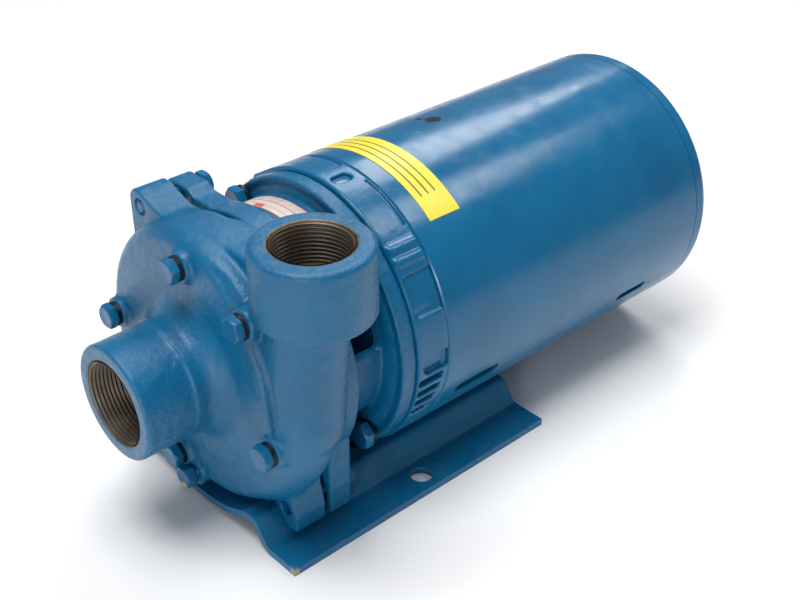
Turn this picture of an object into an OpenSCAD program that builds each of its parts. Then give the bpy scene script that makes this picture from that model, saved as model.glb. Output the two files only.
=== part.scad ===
// Close-coupled end-suction centrifugal pump on a rigid-base electric motor.
// Millimetres, +Z up. The origin is on the floor, midway between the two base
// holes. The shaft runs along +X, from the suction port to the rear of the motor.
// Distances along the shaft are counted from the suction face.

/* [Main sizes] */
// Height of the shaft above the floor
shaft_height = 88.9; // [88.5:0.1:95]
// Distance from the suction face back to the base holes
holes_from_suction = 147; // [140:1:155]
// Outer radius of the motor shell
motor_r = 82.5; // [82:0.1:83]
// Distance from the suction face to the rear rim of the motor
overall_length = 384.6; // [380:0.1:400]

/* [Ports] */
// Wall radius of the suction thread, 1-1/2 inch pipe
suction_thread_r = 22.8; // [22:0.1:23.5]
// Outer radius of the suction boss
suction_boss_r = 32.1; // [30:0.1:34]
// Wall radius of the discharge thread, 1-1/4 inch pipe
discharge_thread_r = 19.9; // [19:0.1:20.5]
// Outer radius of the discharge boss
discharge_boss_r = 31; // [29:0.5:32]
// Depth of both pipe threads
thread_depth = 22; // [18:1:25]
// Distance from the suction face to the discharge axis
discharge_x = 74.3; // [73:0.1:76]
// Sideways distance from the shaft to the discharge axis
discharge_y = 73; // [72:0.5:75]
// Height of the discharge face above the shaft
discharge_z = 96.9; // [90:0.1:105]

/* [Casing] */
// Radius of the round front of the casing
dome_r = 78; // [77:0.5:79]
// Front face of the casing
dome_x = 47; // [46:0.5:48]
// How far the volute grows from its cutwater to its throat
volute_growth = 14; // [11:1:16]
// Half width of the square flanges
flange_half_w = 67; // [65:0.5:68]
// Half height of the casing's square flange
flange_half_h = 77; // [75:0.5:78]
// Face where casing and bracket meet
joint_x = 84; // [84:0.5:85]
// Diameter of the impeller
impeller_d = 120; // [100:1:122]

/* [Motor] */
// Radius of the motor's face bolt circle
face_bolt_r = 74.6; // [74:0.1:75]
// Radius of the motor's register
register_r = 57.15; // [57:0.05:57.3]
// Length of the stator core
core_length = 92; // [60:1:100]
// Radius of the shaft extension
shaft_r = 7.94; // [7.5:0.01:8]

/* [Base] */
// Overall half width of the base
base_half_w = 84; // [80:0.5:90]
// Thickness of the base plate
base_t = 4.5; // [4:0.1:5]
// Front end of the base
base_x0 = 45.6; // [45:0.1:50]
// Rear end of the base
base_x1 = 236.2; // [220:0.1:250]
// Half the distance between the two base holes
hole_half_pitch = 72.4; // [71:0.1:75]
// Radius of the base holes
hole_r = 6.5; // [5:0.1:7]

/* [Hidden] */
$fn = 64;
eps = 0.01;
// Planes along the shaft
lug_x = 61;
gasket_t = 0.8;
bracket_x0 = joint_x + gasket_t;
bracket_x1 = 99.5;
ring_x0 = 125;
ring_x1 = 135;
ring_r = 80.7;
bell_x1 = 157;
shell_x1 = 374;
core_x0 = 202;
core_x1 = core_x0 + core_length;
front_bearing_x = 146;
rear_bearing_x = 358;
bearing_w = 12;
// Casing interior
wall = 7;
chamber_x0 = 54;
wear_plate_t = 5;
discharge_boss_z = 57;
relief_z = discharge_boss_z - 5;
joint_face_r = 73;
impeller_r = impeller_d / 2;
impeller_back_x = 76;
vane_x0 = chamber_x0 + wear_plate_t + 0.6;
volute_tube_r = 18;
volute_x = 65.5;
cutwater = 110;
volute_sweep = 290;
volute_steps = 10;
// Casing screws: angle from the far side upwards, and radius from the shaft
casing_screws = [[3, 67], [92, 63.5], [135, 77], [191, 72], [283, 65.5]];
casing_boss_x = 44;
screw_r = 3.97;
screw_af = 12.7;
washer_t = 2;
drain_pos = [4, -72.5];
// Screw lugs at three corners; the discharge boss stands over the fourth
lugs = [[57, 68], [58, -68], [-58, -68]];
lug_screw_length = 34;
bracket_screw_r = 4.7;
bracket_screw_af = 14.3;
// Bracket
neck_r = 64;
neck_wall = 6;
neck_top_r = 70;
windows = [[8, 52], [128, 172], [212, 246], [294, 328]];
seal_bore_r = 19;
// Bearings, 17 x 40 x 12
bore_r = 8.5;
outer_r = 20;
pitch_r = 14.25;
ball_r = 3.35;
race_r = 3.65;
balls = 7;
// Motor inside
shell_t = 2.2;
through_bolt_r = 2.4;
through_bolt_at = 67.8;
through_bolt_head_r = 4.4;
conduit_r = 11.1;
conduit_pos = [38, -36];
terminal_pos = [-36, 30];
terminal_board_size = [20, 30, 3];
cover_size = [28, 45, 1.6];
cover_screw_at = 19;

cast_blue = [0.11, 0.36, 0.55];
deep_blue = [0.07, 0.27, 0.43];
steel = [0.62, 0.63, 0.64];
dark_steel = [0.30, 0.31, 0.33];
copper = [0.72, 0.42, 0.22];
rubber = [0.08, 0.08, 0.09];

// ---- Helpers ----

// The shaft line, with x counted from the suction face
module on_shaft() {
    translate([-holes_from_suction, 0, shaft_height]) children();
}

// A child drawn along Z, laid along the shaft from x
module along(x) {
    translate([x, 0, 0]) rotate([0, 90, 0]) children();
}

// A child drawn along Z, laid along the shaft from x at a place across it
module along_at(x, pos) {
    translate([x, pos.x, pos.y]) rotate([0, 90, 0]) children();
}

// A flat outline in (across, up), pushed along the shaft from x0 to x1
module slab(x0, x1) {
    translate([x0, 0, 0]) rotate([90, 0, 90]) linear_extrude(x1 - x0) children();
}

// An outline in (radius, along) turned round the shaft
module turned() {
    rotate([0, 90, 0]) rotate_extrude($fn = 96) children();
}

// The same over part of a turn, from angle a0 to a1
module turned_part(a0, a1) {
    rotate([a0, 0, 0]) rotate([0, 90, 0]) rotate([0, 0, 90])
        rotate_extrude(angle = a1 - a0, $fn = 96) children();
}

module tube(x0, x1, ro, ri) {
    along(x0) difference() {
        cylinder(h = x1 - x0, r = ro, $fn = 96);
        translate([0, 0, -1]) cylinder(h = x1 - x0 + 2, r = ri, $fn = 96);
    }
}

module rod(x0, x1, r) {
    along(x0) cylinder(h = x1 - x0, r = r);
}

function polar(a, r) = [r * cos(a), r * sin(a)];

module rounded_rect(half_w, half_h, r) {
    square([2 * (half_w - r), 2 * half_h], center = true);
    square([2 * half_w, 2 * (half_h - r)], center = true);
    for (sy = [-1, 1], sz = [-1, 1])
        translate([sy * (half_w - r), sz * (half_h - r)]) circle(r);
}

// Hexagon head screw along +X; the head's underside is at x
module hex_screw(x, pos, af, head_h, r, length) {
    along_at(x - head_h, pos) {
        rotate([0, 0, 30]) cylinder(h = head_h, r = af / sqrt(3), $fn = 6);
        translate([0, 0, head_h - eps]) cylinder(h = length + eps, r = r);
    }
}

module discharge_column(z0, z1, r) {
    translate([discharge_x, -discharge_y, z0]) cylinder(h = z1 - z0, r = r);
}

// ---- Base plate section, in (across, up) from the shaft ----

saddle_r = motor_r + 0.08;
crest_y = 49.3;
crest_z = -71.5;
toe_y = 62.9;
flange_z = base_t - shaft_height;
bend_steps = 10;
saddle_steps = 32;

// The bend between flange and crest is half a cosine wave
function bend(t) = [toe_y + (crest_y - toe_y) * t,
                    flange_z + (crest_z - flange_z) * (0.5 - 0.5 * cos(180 * t))];
function bend_under(t) = bend(t) + base_t * [-0.82 * sin(180 * t), 0.42 * sin(180 * t) - 1];

// Lines across the plate, from the far edge to the near one
function mirrored(points) = [for (i = [len(points) - 1 : -1 : 0]) [-points[i].x, points[i].y]];
function saddle_arc(r, z) = let (a = acos(z / -r))
    [for (i = [0 : saddle_steps]) let (t = a - 2 * a * i / saddle_steps)
        [r * sin(t), -r * cos(t)]];
function top_half() = concat([[base_half_w, flange_z]],
    [for (i = [0 : bend_steps]) bend(i / bend_steps)]);
function under_half() = concat([[base_half_w, -shaft_height]],
    [for (i = [0 : bend_steps]) bend_under(i / bend_steps)]);
function top_line() = concat(top_half(), saddle_arc(saddle_r, crest_z), mirrored(top_half()));
function under_line() = concat(under_half(), saddle_arc(saddle_r + base_t, crest_z - base_t),
    mirrored(under_half()));
function reversed(points) = [for (i = [len(points) - 1 : -1 : 0]) points[i]];

module base_section() {
    polygon(concat(top_line(), reversed(under_line())));
}

// Everything below the plate's upper line, with a working gap above it
module base_clearance(gap) {
    translate([0, gap]) polygon(concat(top_line(),
        [[-base_half_w, -150], [base_half_w, -150]]));
}

module motor_base() {
    color(deep_blue) difference() {
        on_shaft() slab(base_x0, base_x1) base_section();
        for (s = [-1, 1])
            translate([0, s * hole_half_pitch, -1]) cylinder(h = base_t + 2, r = hole_r);
    }
}

// ---- Casing ----

function volute_r(swept) = dome_r - 1 + volute_growth * pow(swept / volute_sweep, 3.5);

module volute_body(shrink) {
    step = volute_sweep / volute_steps;
    for (i = [0 : volute_steps - 1]) {
        r = volute_r((i + 0.6) * step) - shrink;
        a1 = cutwater - i * step;
        turned_part(a1 - step - 0.5, a1)
            translate([r - (volute_tube_r - shrink), volute_x])
                circle(volute_tube_r - shrink, $fn = 48);
    }
}

module throat(shrink) {
    for (part = [[67, -71, -10, 32, 20], [69.5, -74, 26, 66, 21.5]])
        translate([part[0] - shrink / 5, part[1], part[2]])
            cylinder(h = part[3] - part[2], r = part[4] - shrink);
}

// Corner plates that reach down to the base
module lower_corners(half_w) {
    for (s = [-1, 1]) translate([s * (half_w - 10), -71]) rounded_rect(10, 10, 3);
}

module casing_outline() {
    difference() {
        union() {
            rounded_rect(flange_half_w, flange_half_h, 9);
            lower_corners(flange_half_w);
        }
        // The edges dip between the lugs
        translate([24, flange_half_h + 54]) circle(60, $fn = 96);
        translate([-flange_half_w - 56, -45]) circle(60, $fn = 96);
        base_clearance(2.5);
    }
    circle(volute_r(0), $fn = 96);
}

module volute_casing() {
    color(cast_blue) on_shaft() difference() {
        union() {
            // Suction boss with its gusset
            rod(0, dome_x + 3, suction_boss_r);
            translate([0, 4, 0]) rotate([90, 0, 0]) linear_extrude(9)
                polygon([[26, 28], [dome_x + 2, 28], [dome_x + 2, 50], [dome_x - 5, 42]]);
            // Domed front with a rounded rim
            turned() {
                translate([dome_r - 9, dome_x + 9]) circle(9, $fn = 48);
                translate([0, dome_x]) square([dome_r - 9, 15]);
                translate([0, dome_x + 9]) square([dome_r, 8]);
            }
            volute_body(0);
            slab(lug_x, joint_x) casing_outline();
            // Discharge
            throat(0);
            discharge_column(discharge_boss_z, discharge_z, discharge_boss_r);
            // Screw bosses
            for (s = casing_screws)
                along_at(casing_boss_x, polar(s[0], s[1])) cylinder(h = 14, r = 8.6);
            along_at(casing_boss_x + 1, drain_pos) cylinder(h = 16, r = 8);
        }
        // Suction thread and eye
        along(-1) cylinder(h = thread_depth + 1, r = suction_thread_r);
        rod(thread_depth - eps, chamber_x0 + 1, 20);
        // Impeller chamber and volute channel
        rod(chamber_x0, joint_x + 1, 66.5);
        rod(chamber_x0, chamber_x0 + wear_plate_t + 0.4, 72);
        volute_body(wall);
        throat(wall);
        // Discharge thread and passage
        discharge_column(discharge_z - thread_depth, discharge_z + 1, discharge_thread_r);
        discharge_column(discharge_boss_z + 6, discharge_z - thread_depth + eps, 16);
        // Machined back: only the discharge side overhangs the bracket
        translate([joint_x, -dome_r, -100]) cube([40, 200, 100 + relief_z + 2]);
        rod(joint_x, joint_x + 25, joint_face_r + 1);
        slab(base_x0 - 1, joint_x + 1) base_clearance(0.8);
        // Tapped holes
        for (s = casing_screws)
            along_at(casing_boss_x - 1, polar(s[0], s[1]))
                cylinder(h = 10.4, r = screw_r + 0.02);
        along_at(casing_boss_x, drain_pos) cylinder(h = 9, r = 5.02);
        for (lug = lugs)
            along_at(lug_x - 1, lug) cylinder(h = joint_x - lug_x + 2, r = screw_r + 0.02);
    }
}

module suction_wear_plate() {
    color(dark_steel) on_shaft()
        tube(chamber_x0, chamber_x0 + wear_plate_t, 71.9, 21);
}

module casing_gasket() {
    color(rubber) on_shaft() slab(joint_x, bracket_x0) difference() {
        circle(joint_face_r - 0.5, $fn = 96);
        circle(67, $fn = 96);
    }
}

module casing_screws() {
    color(cast_blue) on_shaft() for (s = casing_screws)
        hex_screw(casing_boss_x - washer_t, polar(s[0], s[1]), screw_af, 5.3, screw_r, 11);
}

module casing_lock_washers() {
    color(dark_steel) on_shaft() for (s = casing_screws)
        along_at(casing_boss_x - washer_t, polar(s[0], s[1])) difference() {
            cylinder(h = washer_t, r = 6.9);
            translate([0, 0, -1]) cylinder(h = washer_t + 2, r = screw_r + 0.3);
            translate([0, -0.6, -1]) cube([8, 1.2, washer_t + 2]);
        }
}

module drain_plug() {
    color(cast_blue) on_shaft() along_at(casing_boss_x - 7, drain_pos) {
        rotate([0, 0, 20]) cylinder(h = 6.5, r = 6.6, $fn = 6);
        translate([0, 0, 6.4]) cylinder(h = 9, r = 5);
    }
}

// ---- Bracket between pump and motor ----

module bracket_outline() {
    difference() {
        union() {
            rounded_rect(flange_half_w, 71, 8);
            lower_corners(flange_half_w);
            translate([flange_half_w - 11, 64]) rounded_rect(11, 9.8, 4);
        }
        base_clearance(2.5);
    }
    circle(75.5, $fn = 96);
}

module motor_bracket() {
    color(cast_blue) on_shaft() difference() {
        union() {
            slab(bracket_x0, bracket_x1) bracket_outline();
            difference() {
                tube(bracket_x1 - eps, ring_x0 + eps, neck_r, neck_r - neck_wall);
                for (w = windows)
                    rotate([w[0], 0, 0]) rotate([0, 90, 0]) rotate([0, 0, 90])
                        translate([0, 0, bracket_x1]) rotate_extrude(angle = w[1] - w[0])
                            translate([neck_r - 12, 0]) square([20, ring_x0 - bracket_x1]);
            }
            // The arch on top stands prouder than the legs
            turned_part(windows[0][1] + 1.5, windows[1][0] - 1.5)
                translate([neck_r - 3, bracket_x1 - 2])
                    square([neck_top_r - neck_r + 3, ring_x0 - bracket_x1 + 4]);
            // Seal housing
            rod(bracket_x1 - 1, 107, 30);
            rod(ring_x0, ring_x1, ring_r);
        }
        rod(bracket_x0 - 1, 96, seal_bore_r + 0.02);
        rod(bracket_x0 - 1, 110, 11);
        rod(ring_x0 - 1, ring_x1 - 3.8, neck_r - neck_wall);
        rod(ring_x1 - 4, ring_x1 + 1, register_r + 0.05);
        for (a = [45 : 90 : 315])
            along_at(ring_x0 - 1, polar(a, face_bolt_r)) cylinder(h = 12, r = 5.2);
        for (lug = lugs)
            along_at(bracket_x0 - 1, lug) cylinder(h = 20, r = screw_r + 0.4);
        // Room for the discharge boss, which overhangs the flange outside the gasket
        difference() {
            discharge_column(relief_z, discharge_z, discharge_boss_r + 2.5);
            rod(bracket_x0 - 2, bracket_x1 + 20, joint_face_r);
        }
    }
}

module lug_screws() {
    color(cast_blue) on_shaft() for (lug = lugs)
        along_at(bracket_x1, lug) {
            rotate([0, 0, 30]) cylinder(h = 5.3, r = screw_af / sqrt(3), $fn = 6);
            translate([0, 0, -lug_screw_length]) cylinder(h = lug_screw_length + eps, r = screw_r);
        }
}

module bracket_screws() {
    color(cast_blue) on_shaft() for (a = [45 : 90 : 315])
        hex_screw(ring_x0 - washer_t, polar(a, face_bolt_r), bracket_screw_af, 6.2, bracket_screw_r, 21);
}

module bracket_lock_washers() {
    color(dark_steel) on_shaft() for (a = [45 : 90 : 315])
        along_at(ring_x0 - washer_t, polar(a, face_bolt_r)) difference() {
            cylinder(h = washer_t, r = 7.6);
            translate([0, 0, -1]) cylinder(h = washer_t + 2, r = 5);
        }
}

// Curved name tag on top of the neck
module casing_name_tag() {
    color("white") on_shaft() turned_part(58, 100)
        translate([neck_top_r + 0.02, 106.5]) square([0.35, 15]);
}

// ---- Rotating parts of the pump ----

module vane_outline() {
    intersection() {
        difference() {
            translate([20, 26]) circle(34, $fn = 96);
            translate([20, 26]) circle(31, $fn = 96);
        }
        difference() {
            circle(impeller_r - 0.5, $fn = 96);
            circle(22, $fn = 96);
        }
        translate([0, -60]) square([60, 60]);
    }
}

module impeller() {
    color([0.66, 0.52, 0.30]) on_shaft() difference() {
        union() {
            rod(impeller_back_x, impeller_back_x + 3.2, impeller_r);
            rod(vane_x0 + 2, 81, 13);
            for (a = [0 : 60 : 300]) rotate([a, 0, 0])
                slab(vane_x0, impeller_back_x + 0.5) vane_outline();
        }
        rod(vane_x0, 90, shaft_r + 0.02);
        // Keyway
        translate([vane_x0, -2.4, 0]) cube([40, 4.8, shaft_r + 2.4]);
    }
}

module impeller_key() {
    color(steel) on_shaft() translate([66, -2.38, shaft_r - 2.4]) cube([14, 4.76, 4.7]);
}

module impeller_nut() {
    color(steel) on_shaft() along(vane_x0 - 7.2) difference() {
        union() {
            cylinder(h = 7, r = 10.2, $fn = 6);
            translate([0, 0, 7 - eps]) cylinder(h = 2.1, r = 12);
        }
        translate([0, 0, -1]) cylinder(h = 12, r = 5.52);
    }
}

module seal_seat() {
    color([0.90, 0.88, 0.84]) on_shaft() tube(89.5, 95.9, 16, 10.5);
}

module seal_cup() {
    color(rubber) on_shaft() tube(89.5, 95.9, seal_bore_r, 16.05);
}

module seal_head() {
    color(dark_steel) on_shaft() {
        tube(86.2, 89.1, 15, shaft_r + 0.02);
        tube(81.1, 82.4, 15, shaft_r + 0.02);
    }
}

module seal_spring() {
    color(steel) on_shaft() along(82.45)
        linear_extrude(3.7, twist = -900, slices = 60, $fn = 8) translate([11.5, 0])
            scale([1, 2.2]) circle(0.45);
}

module slinger() {
    color(rubber) on_shaft() {
        tube(110, 113, 22, shaft_r + 0.02);
        tube(113 - eps, 118, 12, shaft_r + 0.02);
    }
}

module shaft() {
    color(steel) on_shaft() difference() {
        union() {
            rod(vane_x0 - 8, 66, 5.5);
            rod(62.3, front_bearing_x - 6, shaft_r);
            rod(front_bearing_x - 6 - eps, rear_bearing_x + bearing_w + 1, bore_r);
            rod(front_bearing_x + bearing_w, rear_bearing_x, 11.5);
        }
        translate([65.5, -2.4, shaft_r - 2.42]) cube([15, 4.8, 5]);
    }
}

// ---- Bearings ----

module race_pair(x, outer) {
    on_shaft() difference() {
        if (outer) tube(x, x + bearing_w, outer_r, 16.6);
        else tube(x, x + bearing_w, 11.9, bore_r + 0.02);
        turned() translate([pitch_r, x + bearing_w / 2]) circle(race_r, $fn = 48);
    }
}

module bearing_cage(x) {
    on_shaft() difference() {
        tube(x + 2, x + bearing_w - 2, 15.4, 13.1);
        for (i = [0 : balls - 1])
            translate([x + bearing_w / 2, 0, 0]) rotate([i * 360 / balls, 0, 0])
                cylinder(h = 20, r = ball_r + 0.1);
    }
}

module bearing_balls(x) {
    on_shaft() for (i = [0 : balls - 1]) rotate([i * 360 / balls, 0, 0])
        translate([x + bearing_w / 2, 0, pitch_r]) sphere(ball_r, $fn = 32);
}

module front_bearing_outer() { color(steel) race_pair(front_bearing_x, true); }
module front_bearing_inner() { color(steel) race_pair(front_bearing_x, false); }
module front_bearing_cage() { color(dark_steel) bearing_cage(front_bearing_x); }
module front_bearing_balls() { color(steel) bearing_balls(front_bearing_x); }
module rear_bearing_outer() { color(steel) race_pair(rear_bearing_x, true); }
module rear_bearing_inner() { color(steel) race_pair(rear_bearing_x, false); }
module rear_bearing_cage() { color(dark_steel) bearing_cage(rear_bearing_x); }
module rear_bearing_balls() { color(steel) bearing_balls(rear_bearing_x); }

module bearing_wave_spring() {
    color(steel) on_shaft()
        tube(rear_bearing_x + bearing_w + 0.02, rear_bearing_x + bearing_w + 1.2, 19.5, 15.5);
}

// ---- Motor ----

module cooling_slots(x0, x1, angles, w) {
    for (a = angles) rotate([a, 0, 0])
        translate([x0, motor_r - 14, -w / 2]) cube([x1 - x0, 20, w]);
}

module front_end_bell() {
    color(cast_blue) on_shaft() difference() {
        union() {
            rod(ring_x1 - 3.6, ring_x1 + eps, register_r);
            rod(ring_x1, ring_x1 + 6, motor_r);
            tube(ring_x1 + 5, bell_x1, motor_r, motor_r - 9);
            tube(bell_x1 - eps, bell_x1 + 6, motor_r - shell_t - 0.1, motor_r - 9);
            rod(ring_x1 + 5, front_bearing_x + bearing_w + 1, 27);
            for (a = [22.5 : 45 : 337.5]) rotate([a, 0, 0])
                translate([ring_x1 + 5, 25, -2.5]) cube([10, motor_r - 30, 5]);
            for (a = [0 : 90 : 270])
                along_at(ring_x1 + 5, polar(a, through_bolt_at)) cylinder(h = 26, r = 6);
        }
        rod(front_bearing_x - 0.02, 200, outer_r + 0.02);
        rod(ring_x1 - 10, front_bearing_x + 1, 13);
        // Air louvres, low on both sides
        cooling_slots(ring_x1 + 1.5, bell_x1 - 3, [188, 193.5, 199, 204.5], 4);
        cooling_slots(ring_x1 + 1.5, bell_x1 - 3, [352, 346.5, 341, 335.5], 4);
        // Shallow cast pocket
        turned_part(147, 159) translate([motor_r - 2.2, ring_x1 + 3]) square([5, 16]);
        for (a = [45 : 90 : 315])
            along_at(ring_x1 - 1, polar(a, face_bolt_r)) cylinder(h = 14, r = 4.72);
        for (a = [0 : 90 : 270])
            along_at(ring_x1 + 4, polar(a, through_bolt_at))
                cylinder(h = 40, r = through_bolt_r + 0.05);
    }
}

module motor_shell() {
    color(cast_blue) on_shaft() difference() {
        tube(bell_x1 + 0.02, shell_x1, motor_r, motor_r - shell_t);
        for (a = [204, 223, 336, 317]) {
            cooling_slots(170, 205, [a], 3.2);
            cooling_slots(310, 337, [a], 3.2);
        }
    }
}

module stator_core() {
    color(dark_steel) on_shaft() difference() {
        tube(core_x0, core_x1, motor_r - shell_t - 0.05, 46);
        for (a = [0 : 90 : 270])
            along_at(core_x0 - 1, polar(a, through_bolt_at))
                cylinder(h = core_length + 2, r = through_bolt_r + 0.4);
        for (i = [0 : 23]) rotate([i * 15 + 7.5, 0, 0])
            translate([core_x0 - 1, 44, -1.5]) cube([core_length + 2, 18, 3]);
    }
}

module winding(x0, x1) {
    on_shaft() turned() {
        translate([50, x0 + 1]) square([15, x1 - x0 - 2]);
        translate([52, x0]) square([11, x1 - x0]);
    }
}

module stator_winding_front() { color(copper) winding(core_x0 - 24, core_x0 - 0.05); }
module stator_winding_rear() { color(copper) winding(core_x1 + 0.05, core_x1 + 24); }

module rotor_core() {
    color(dark_steel) on_shaft() tube(core_x0, core_x1, 45.4, 11.52);
}

module rotor_end_rings() {
    color([0.75, 0.76, 0.77]) on_shaft() for (x = [core_x0 - 8, core_x1 + 0.02])
        tube(x, x + 7.98, 44, 28);
}

module cooling_fan() {
    color([0.75, 0.76, 0.77]) on_shaft() difference() {
        union() {
            tube(330, 332.5, 62, 11.52);
            tube(326, 340, 18, 11.52);
            for (a = [0 : 45 : 315]) rotate([a, 0, 0])
                translate([318.5, 34, -1.2]) cube([12, 26, 2.4]);
        }
    }
}

module rear_end_bell() {
    color(cast_blue) on_shaft() difference() {
        union() {
            turned() {
                translate([motor_r - 5, overall_length - 5]) circle(5, $fn = 48);
                translate([motor_r - 8, shell_x1 + 0.02]) square([8, overall_length - 5 - shell_x1]);
                translate([motor_r - 8, overall_length - 6]) square([3, 6]);
                translate([0, shell_x1 + 0.02]) square([motor_r - 2, 6]);
                translate([outer_r + 0.02, rear_bearing_x]) square([7, 18]);
                translate([motor_r - 9, shell_x1 - 6]) square([9 - shell_t - 0.1, 7]);
            }
        }
        along_at(shell_x1 - 8, terminal_pos) translate([-11, -16, 0]) cube([22, 32, 20]);
        along_at(shell_x1 - 8, conduit_pos) cylinder(h = 20, r = conduit_r);
        for (a = [0 : 90 : 270])
            along_at(shell_x1 - 12, polar(a, through_bolt_at)) cylinder(h = 30, r = through_bolt_r + 0.4);
        for (sy = [-1, 1])
            along_at(shell_x1 + 1, terminal_pos + [sy * cover_screw_at, 0]) cylinder(h = 10, r = 1.95);
        // Cooling slots round the bearing
        for (a = [60 : 20 : 120]) rotate([a + 180, 0, 0])
            translate([shell_x1 - 2, 40, -2.5]) cube([12, 24, 5]);
    }
}

module through_bolts() {
    color(steel) on_shaft() for (a = [0 : 90 : 270]) {
        along_at(ring_x1 + 5, polar(a, through_bolt_at))
            cylinder(h = shell_x1 + 6.1 - ring_x1 - 5, r = through_bolt_r);
        along_at(shell_x1 + 6.05, polar(a, through_bolt_at)) cylinder(h = 3.4, r = through_bolt_head_r, $fn = 6);
    }
}

module terminal_board() {
    color([0.16, 0.12, 0.10]) on_shaft()
        along_at(shell_x1 - 10, terminal_pos)
            translate([-terminal_board_size.x / 2, -terminal_board_size.y / 2, 0])
                cube(terminal_board_size);
}

module terminal_studs() {
    color([0.80, 0.62, 0.30]) on_shaft() for (i = [-1, 0, 1], j = [-1, 1])
        along_at(shell_x1 - 7, terminal_pos + [i * 9.5, j * 5.5]) {
            cylinder(h = 5, r = 2);
            cylinder(h = 2.2, r = 3.6, $fn = 6);
        }
}

module terminal_cover() {
    color(deep_blue) on_shaft() difference() {
        along_at(shell_x1 + 6.05, terminal_pos)
            translate([-cover_size.x / 2, -cover_size.y / 2, 0]) cube(cover_size);
        for (sy = [-1, 1])
            along_at(shell_x1 + 5, terminal_pos + [sy * cover_screw_at, 0]) cylinder(h = 10, r = 2.1);
    }
}

module cover_screws() {
    color(steel) on_shaft() for (sy = [-1, 1])
        along_at(shell_x1 + 7.7, terminal_pos + [sy * cover_screw_at, 0]) {
            difference() {
                cylinder(h = 2.2, r = 3.8);
                translate([-0.5, -5, 1.2]) cube([1, 10, 3]);
            }
            translate([0, 0, -6]) cylinder(h = 6 + eps, r = 1.9);
        }
}

// Yellow paper label wrapped over the shell
module motor_label() {
    color([0.98, 0.85, 0.10]) on_shaft() turned_part(48, 129.5)
        translate([motor_r + 0.02, 169.8]) square([0.3, 21.8]);
}

volute_casing();
suction_wear_plate();
casing_gasket();
casing_screws();
casing_lock_washers();
drain_plug();
casing_name_tag();
motor_bracket();
lug_screws();
bracket_screws();
bracket_lock_washers();
impeller();
impeller_key();
impeller_nut();
seal_seat();
seal_cup();
seal_head();
seal_spring();
slinger();
shaft();
front_end_bell();
front_bearing_outer();
front_bearing_inner();
front_bearing_cage();
front_bearing_balls();
motor_shell();
stator_core();
stator_winding_front();
stator_winding_rear();
rotor_core();
rotor_end_rings();
cooling_fan();
rear_end_bell();
rear_bearing_outer();
rear_bearing_inner();
rear_bearing_cage();
rear_bearing_balls();
bearing_wave_spring();
through_bolts();
terminal_board();
terminal_studs();
terminal_cover();
cover_screws();
motor_label();
motor_base();
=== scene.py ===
from math import cos, pi, radians, sin

import bpy
import numpy as np
import openvdb
from mathutils import Matrix, Vector


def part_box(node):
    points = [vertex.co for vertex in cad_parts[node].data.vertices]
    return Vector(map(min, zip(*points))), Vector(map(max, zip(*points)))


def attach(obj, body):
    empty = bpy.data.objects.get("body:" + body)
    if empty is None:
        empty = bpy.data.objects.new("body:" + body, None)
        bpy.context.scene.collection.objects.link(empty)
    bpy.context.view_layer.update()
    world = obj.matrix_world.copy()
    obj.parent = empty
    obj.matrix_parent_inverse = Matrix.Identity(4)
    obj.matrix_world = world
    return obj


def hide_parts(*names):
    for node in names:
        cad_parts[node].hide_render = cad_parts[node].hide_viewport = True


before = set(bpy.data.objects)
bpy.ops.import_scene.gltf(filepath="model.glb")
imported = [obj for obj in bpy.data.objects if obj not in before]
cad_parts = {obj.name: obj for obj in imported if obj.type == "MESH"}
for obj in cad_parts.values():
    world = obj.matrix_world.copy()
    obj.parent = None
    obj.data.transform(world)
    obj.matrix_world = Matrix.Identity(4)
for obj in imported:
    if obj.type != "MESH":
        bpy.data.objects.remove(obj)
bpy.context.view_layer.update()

# The pump's own frame, in millimetres: x runs along the shaft from the suction face,
# y and z are measured from the shaft. Angles go from +y towards +z.
MM = 0.001
FACE_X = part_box("volute_casing")[0].x
SHAFT_Z = (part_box("motor_shell")[0].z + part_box("motor_shell")[1].z) / 2


def to_row(x, y, z):
    """A point of the pump's frame, as a point of the row frame in metres."""
    return Vector((FACE_X + x * MM, y * MM, SHAFT_Z + z * MM))


def polar(angle, r):
    return r * cos(radians(angle)), r * sin(radians(angle))


# ---------------------------------------------------------------- shapes as fields

def grid(low, high, pitch):
    axes = [np.arange(a, b + pitch, pitch, dtype=np.float32) for a, b in zip(low, high)]
    return np.meshgrid(*axes, indexing="ij", sparse=True)


def merge(a, b, k=0.0):
    """Union of two fields, with a fillet of about k."""
    if k <= 0:
        return np.minimum(a, b)
    h = np.clip(0.5 + 0.5 * (b - a) / k, 0, 1)
    return b + (a - b) * h - k * h * (1 - h)


def cut(a, b, k=0.0):
    """Field a with b taken out, the rim rounded by about k."""
    return -merge(-a, b, k)


def common(a, b, k=0.0):
    """Where two fields overlap, the rim rounded by about k."""
    return -merge(-a, -b, k)


def rounded(d1, d2, edge):
    """Where two bounds meet, with an edge of that radius."""
    d1, d2 = d1 + edge, d2 + edge
    outside = np.sqrt(np.maximum(d1, 0) ** 2 + np.maximum(d2, 0) ** 2)
    return outside + np.minimum(np.maximum(d1, d2), 0) - edge


def between(values, low, high):
    return np.abs(values - (low + high) / 2) - (high - low) / 2


def rod_x(g, x0, x1, at, r, edge=0.0):
    return rounded(np.hypot(g[1] - at[0], g[2] - at[1]) - r, between(g[0], x0, x1), edge)


def rod_z(g, z0, z1, at, r, edge=0.0):
    return rounded(np.hypot(g[0] - at[0], g[1] - at[1]) - r, between(g[2], z0, z1), edge)


def grown(a, b, r):
    """Where two bounds meet, grown by r with round corners."""
    return np.hypot(np.maximum(a, 0), np.maximum(b, 0)) + np.minimum(np.maximum(a, b), 0) - r


def rounded_square(g, half_w, half_h, r):
    return grown(np.abs(g[1]) - half_w + r, np.abs(g[2]) - half_h + r, r)


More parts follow.
